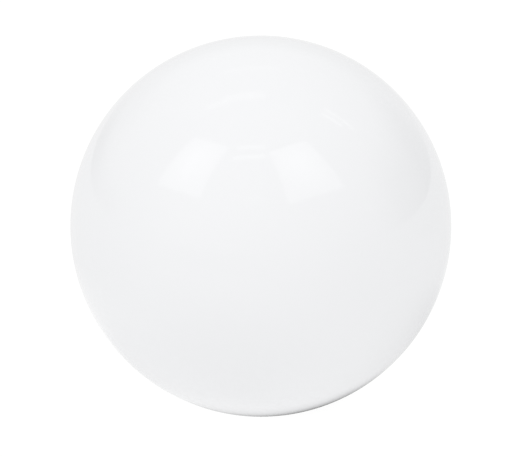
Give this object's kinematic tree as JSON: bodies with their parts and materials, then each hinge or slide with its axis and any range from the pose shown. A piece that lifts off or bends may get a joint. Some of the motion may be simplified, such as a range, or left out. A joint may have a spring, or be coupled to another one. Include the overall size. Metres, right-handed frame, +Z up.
{
  "type": "fence post cap",
  "caption": "Hollow white gloss ball cap that fits over a round tubular fence post, clamped from behind by hidden grub screws.",
  "frame": {"origin": "on the post's axis, in the plane of the flat rim that the ball rests on", "axes": "+Z up along the post's axis, out of the crown of the ball; -Y the front; +X right as seen from the front; the two grub screws are at the back, on the +Y side"},
  "size_m": [0.12, 0.12, 0.1166],
  "materials": {
    "ball_plastic": "high gloss, plain white",
    "socket_plastic": "satin moulded, dark grey",
    "seal_rubber": "matt, black",
    "collar_steel": "turned, zinc plated",
    "screw_steel": "stainless",
    "washer_steel": "stainless, stamped",
    "grub_steel": "black oxide",
    "insert_brass": "turned",
    "pad_nylon": "satin, natural nylon"
  },
  "bodies": {
    "cap": {"lower_shell": "ball_plastic", "upper_shell": "ball_plastic", "equator_seal": "seal_rubber", "mouth_seal": "seal_rubber", "post_top_pad": "seal_rubber", "post_socket": "socket_plastic", "clamp_collar": "collar_steel", "tie_screw": "screw_steel", "tie_washer": "washer_steel", "dome_insert": "insert_brass", "flange_screw_back": "screw_steel", "flange_washer_back": "washer_steel", "flange_screw_front_left": "screw_steel", "flange_washer_front_left": "washer_steel", "flange_screw_front_right": "screw_steel", "flange_washer_front_right": "washer_steel"},
    "left_pad": {"thrust_pad_left": "pad_nylon"},
    "left_screw": {"grub_screw_left": "grub_steel"},
    "right_pad": {"thrust_pad_right": "pad_nylon"},
    "right_screw": {"grub_screw_right": "grub_steel"}
  },
  "joints": [
    {"name": "left_pad_travel", "type": "slide", "parent": "cap", "child": "left_pad", "axis": [0.866, -0.5, 0], "range_m": [0, 0.004]},
    {"name": "left_screw_turn", "type": "hinge", "parent": "left_pad", "child": "left_screw", "pos_m": [-0.02295, 0.01325, 0.011], "axis": [0.866, -0.5, 0], "range_deg": [0, 1800]},
    {"name": "right_pad_travel", "type": "slide", "parent": "cap", "child": "right_pad", "axis": [-0.866, -0.5, 0], "range_m": [0, 0.004]},
    {"name": "right_screw_turn", "type": "hinge", "parent": "right_pad", "child": "right_screw", "pos_m": [0.02295, 0.01325, 0.011], "axis": [-0.866, -0.5, 0], "range_deg": [0, 1800]}
  ],
  "couplings": [
    {"joint": "left_screw_turn", "follows": "left_pad_travel", "rad_per_m": 7854},
    {"joint": "right_screw_turn", "follows": "right_pad_travel", "rad_per_m": 7854}
  ]
}
